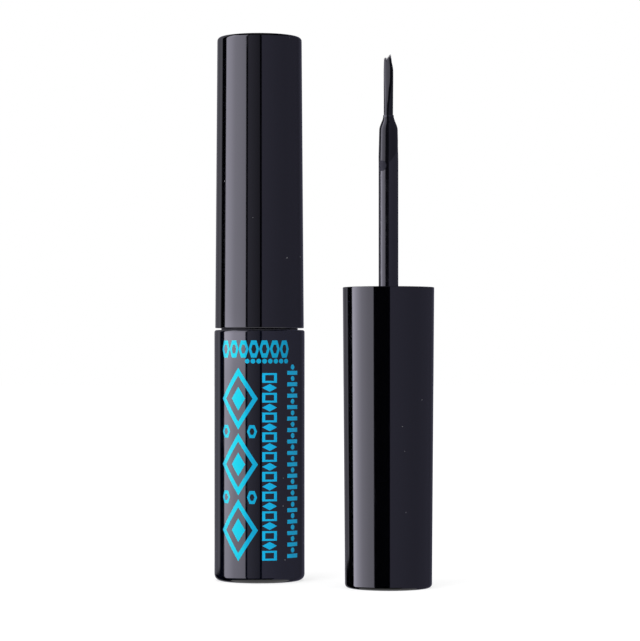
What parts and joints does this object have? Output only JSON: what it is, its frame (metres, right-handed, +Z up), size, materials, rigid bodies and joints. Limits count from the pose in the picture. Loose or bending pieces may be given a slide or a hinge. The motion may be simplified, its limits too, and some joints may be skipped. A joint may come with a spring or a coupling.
{
  "type": "eyeliner",
  "caption": "Dip-in liquid eyeliner: closed round bottle with its screw cap on, beside a cap whose stem and fine brush applicator stands upright, taken out of its bottle.",
  "frame": {"origin": "on the floor, under the middle of the pair's box", "axes": "+Z up along both items' axes, +X towards the open applicator, +Y away from the viewer"},
  "size_m": [0.0408, 0.0318, 0.1022],
  "materials": {
    "gloss_black": "polished black moulding",
    "case_black": "polished black moulding",
    "label_grey": "blank satin film",
    "vial_smoke": "dark moulding, semi-gloss",
    "insert_black": "satin black moulding",
    "wiper_natural": "soft milky moulding",
    "stem_black": "black moulding wet with liner",
    "liner_black": "wet black liquid",
    "bristle_black": "fine fibres wet with liner",
    "print_cyan": null,
    "print_blue": null
  },
  "bodies": {
    "bottle": {"bottle_case": "case_black", "base_label": "label_grey", "inner_vial": "vial_smoke", "wiper": "wiper_natural", "liner_liquid": "liner_black"},
    "applicator": {"applicator_stem": "stem_black", "brush_tuft": "bristle_black"},
    "cap": {"cap_shell": "gloss_black", "cap_insert": "insert_black"},
    "open_applicator": {"open_cap_shell": "gloss_black", "open_cap_insert": "insert_black", "open_applicator_stem": "stem_black", "open_brush_tuft": "bristle_black"}
  },
  "joints": [
    {"name": "cap_lift", "type": "slide", "parent": "bottle", "child": "applicator", "axis": [0, 0, 1], "range_m": [0, 0.057]},
    {"name": "cap_turn", "type": "hinge", "parent": "applicator", "child": "cap", "pos_m": [-0.01188, 0.00743, 0.04745], "axis": [0, 0, 1], "range_deg": [0, 3420]},
    {"name": "open_applicator_lift", "type": "slide", "parent": "bottle", "child": "open_applicator", "axis": [0, 0, 1], "range_m": [0, 0.06]}
  ],
  "couplings": [
    {"joint": "cap_lift", "follows": "cap_turn", "m_per_rad": 0.00095493}
  ]
}
